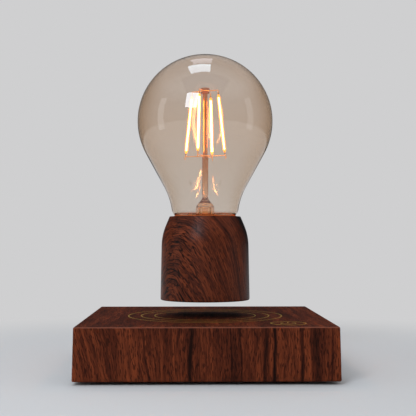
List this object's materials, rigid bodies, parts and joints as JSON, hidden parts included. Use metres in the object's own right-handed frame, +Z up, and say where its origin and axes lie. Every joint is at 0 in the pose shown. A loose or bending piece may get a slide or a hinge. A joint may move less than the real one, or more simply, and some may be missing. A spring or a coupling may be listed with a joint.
{
  "type": "levitating table lamp",
  "caption": "Levitating table lamp: a filament bulb in a turned wooden cup hovers and spins over a square wooden base with inlaid rings.",
  "frame": {"origin": "on the table, under the centre of the square base", "axes": "+Z up along the axis that the lamp floats and spins on, -Y the front, nearest the touch mark, +X to the right seen from the front"},
  "size_m": [0.126, 0.126, 0.1679],
  "materials": {
    "rosewood": "satin oiled",
    "black_plastic": "matte moulded",
    "black_rubber": "matte",
    "zinc_screw": "zinc plated",
    "green_board": "solder mask",
    "nickel_magnet": "nickel plated",
    "ferrite": "ground ferrite",
    "copper_winding": "enamelled copper wire",
    "bobbin_nylon": "moulded nylon",
    "capacitor_sleeve": "shrunk sleeve",
    "chip_epoxy": "moulded epoxy",
    "brass_spring": "drawn wire",
    "white_ceramic": "unglazed",
    "amber_silicone": "translucent silicone",
    "smoked_glass": "smoke-tinted blown glass",
    "clear_glass": "clear blown glass",
    "warm_phosphor": "phosphor coated, lit",
    "nickel_wire": "drawn nickel wire"
  },
  "bodies": {
    "base": {"base_housing": "rosewood", "bottom_cover": "black_plastic", "foot_1": "black_rubber", "foot_2": "black_rubber", "foot_3": "black_rubber", "foot_4": "black_rubber", "cover_screw_1": "zinc_screw", "cover_screw_2": "zinc_screw", "cover_screw_3": "zinc_screw", "cover_screw_4": "zinc_screw", "control_board": "green_board", "ring_magnet": "ferrite", "coil_bobbin_1": "bobbin_nylon", "coil_bobbin_2": "bobbin_nylon", "coil_bobbin_3": "bobbin_nylon", "coil_bobbin_4": "bobbin_nylon", "coil_winding_1": "copper_winding", "coil_winding_2": "copper_winding", "coil_winding_3": "copper_winding", "coil_winding_4": "copper_winding", "coil_core_1": "ferrite", "coil_core_2": "ferrite", "coil_core_3": "ferrite", "coil_core_4": "ferrite", "field_sensor_1": "chip_epoxy", "field_sensor_2": "chip_epoxy", "driver_chip_1": "chip_epoxy", "driver_chip_2": "chip_epoxy", "supply_capacitor_1": "capacitor_sleeve", "supply_capacitor_2": "capacitor_sleeve", "sender_coil": "copper_winding", "touch_pad": "copper_winding", "touch_spring": "brass_spring", "power_inlet": "black_plastic"},
    "levitator": {"float_magnet": "nickel_magnet"},
    "lamp": {"lamp_cup": "rosewood", "cup_base_disc": "black_plastic", "receiver_coil": "copper_winding", "magnet_carrier": "black_plastic", "rectifier_board": "green_board", "bridge_rectifier": "chip_epoxy", "smoothing_capacitor": "capacitor_sleeve", "choke": "ferrite", "neck_collar": "white_ceramic", "glass_bulb": "smoked_glass", "neck_seal": "amber_silicone", "glass_stem": "clear_glass", "lead_wire_1": "nickel_wire", "lead_wire_2": "nickel_wire", "lower_support_wires": "nickel_wire", "upper_support_wires": "nickel_wire", "filament_1": "warm_phosphor", "filament_2": "warm_phosphor", "filament_3": "warm_phosphor", "filament_4": "warm_phosphor"}
  },
  "joints": [
    {"name": "float_height", "type": "slide", "parent": "base", "child": "levitator", "axis": [0, 0, 1], "range_m": [-0.008, 0.04], "stiffness_N_per_m": 120, "springref_m": 0.01485},
    {"name": "float_spin", "type": "hinge", "parent": "levitator", "child": "lamp", "pos_m": [0, 0, 0.0355], "axis": [0, 0, 1], "continuous": true}
  ]
}
